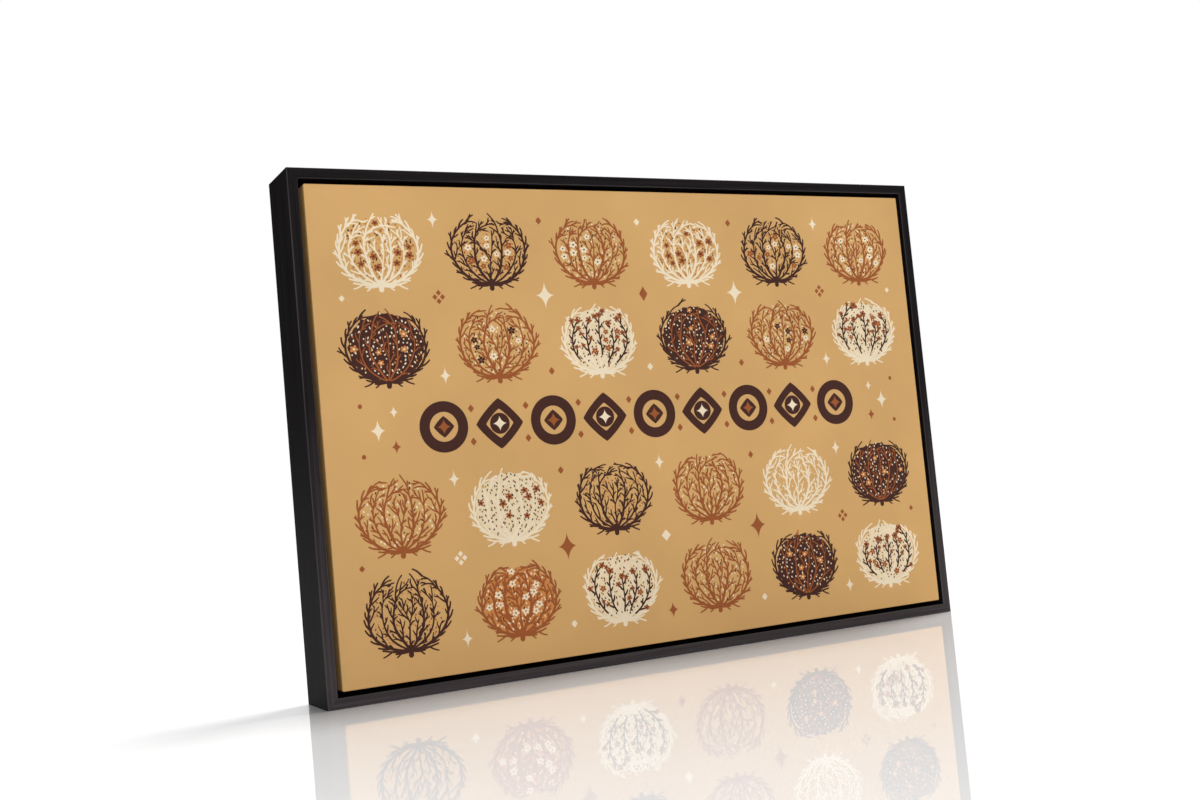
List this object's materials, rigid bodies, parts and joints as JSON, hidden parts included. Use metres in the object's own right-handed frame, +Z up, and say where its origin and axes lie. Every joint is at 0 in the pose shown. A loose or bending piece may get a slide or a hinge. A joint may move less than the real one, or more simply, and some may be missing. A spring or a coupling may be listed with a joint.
{
  "type": "framed canvas print",
  "caption": "Stretched canvas picture floating in a deep black L-section frame with an even shadow gap; stands on its bottom edge or hangs on a wall.",
  "frame": {"origin": "middle of the overall box in X and Y, at the frame's bottom edge, so the frame stands on Z = 0", "axes": "+X to the viewer's right along the width, +Y from the picture towards the wall, +Z up; the picture faces -Y"},
  "size_m": [0.6356, 0.061, 0.4324],
  "materials": {
    "frame_paint": "satin black stain over fine grain",
    "bare_pine": "planed, unfinished",
    "canvas_cloth": "matt printed canvas weave, bare cream cloth on the back",
    "ink_cream": "matt ink on canvas weave",
    "ink_sand": "matt ink on canvas weave",
    "ink_rust": "matt ink on canvas weave",
    "ink_amber": "matt ink on canvas weave",
    "ink_brown": "matt ink on canvas weave",
    "zinc_steel": "bright zinc plate",
    "brassed_steel": "thin brass plate",
    "black_rubber": "matt"
  },
  "bodies": {
    "root": {"frame_rail_bottom": "frame_paint", "frame_rail_top": "frame_paint", "frame_rail_left": "frame_paint", "frame_rail_right": "frame_paint", "stretcher_bar_bottom": "bare_pine", "stretcher_bar_top": "bare_pine", "stretcher_bar_left": "bare_pine", "stretcher_bar_right": "bare_pine", "canvas": "canvas_cloth", "fixing_screw_bottom_1": "zinc_steel", "fixing_screw_bottom_2": "zinc_steel", "fixing_screw_top_1": "zinc_steel", "fixing_screw_top_2": "zinc_steel", "fixing_screw_left_1": "zinc_steel", "fixing_screw_left_2": "zinc_steel", "fixing_screw_right_1": "zinc_steel", "fixing_screw_right_2": "zinc_steel", "sawtooth_hanger": "brassed_steel", "hanger_pin_1": "brassed_steel", "hanger_pin_2": "brassed_steel", "bumper_left": "black_rubber", "bumper_right": "black_rubber"}
  },
  "joints": []
}
